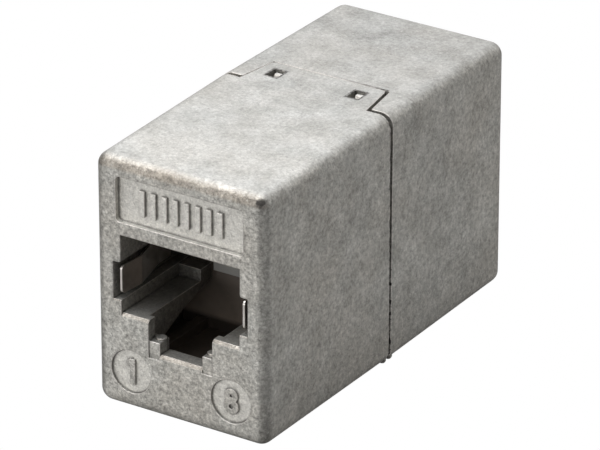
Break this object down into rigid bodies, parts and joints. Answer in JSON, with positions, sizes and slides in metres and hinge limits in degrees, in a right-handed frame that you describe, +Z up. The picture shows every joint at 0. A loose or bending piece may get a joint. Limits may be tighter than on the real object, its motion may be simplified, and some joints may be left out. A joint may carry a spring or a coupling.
{
  "type": "rj45 inline coupler",
  "caption": "Boxy die-cast metal coupler with a modular-plug port at each end, a sunk plate above each port, numbered discs below it and a tongue joint round the middle.",
  "frame": {"origin": "on the surface it lies on, under the middle of the body", "axes": "X across the ports, +Y from the front port face to the rear port face, +Z up, with the latch notch of each port at the bottom"},
  "size_m": [0.0174, 0.038, 0.0232],
  "materials": {
    "zinc_casting": "bare die-cast zinc, matte and slightly cloudy",
    "dark_plastic": "matte moulded plastic, near black with a brown tint",
    "light_plastic": "matte moulded plastic, light grey",
    "spring_metal": "nickel-plated spring sheet, smooth",
    "contact_plating": "gold-plated spring strip, smooth",
    "board": "solder-masked circuit board, satin"
  },
  "bodies": {
    "root": {"circuit_board": "board", "front_housing": "zinc_casting", "front_contact_block": "dark_plastic", "front_contact_comb": "light_plastic", "front_shield_spring_left": "spring_metal", "front_shield_spring_right": "spring_metal", "front_contact_1": "contact_plating", "front_contact_2": "contact_plating", "front_contact_3": "contact_plating", "front_contact_4": "contact_plating", "front_contact_5": "contact_plating", "front_contact_6": "contact_plating", "front_contact_7": "contact_plating", "front_contact_8": "contact_plating", "rear_housing": "zinc_casting", "rear_contact_block": "dark_plastic", "rear_contact_comb": "light_plastic", "rear_shield_spring_left": "spring_metal", "rear_shield_spring_right": "spring_metal", "rear_contact_1": "contact_plating", "rear_contact_2": "contact_plating", "rear_contact_3": "contact_plating", "rear_contact_4": "contact_plating", "rear_contact_5": "contact_plating", "rear_contact_6": "contact_plating", "rear_contact_7": "contact_plating", "rear_contact_8": "contact_plating"}
  },
  "joints": []
}
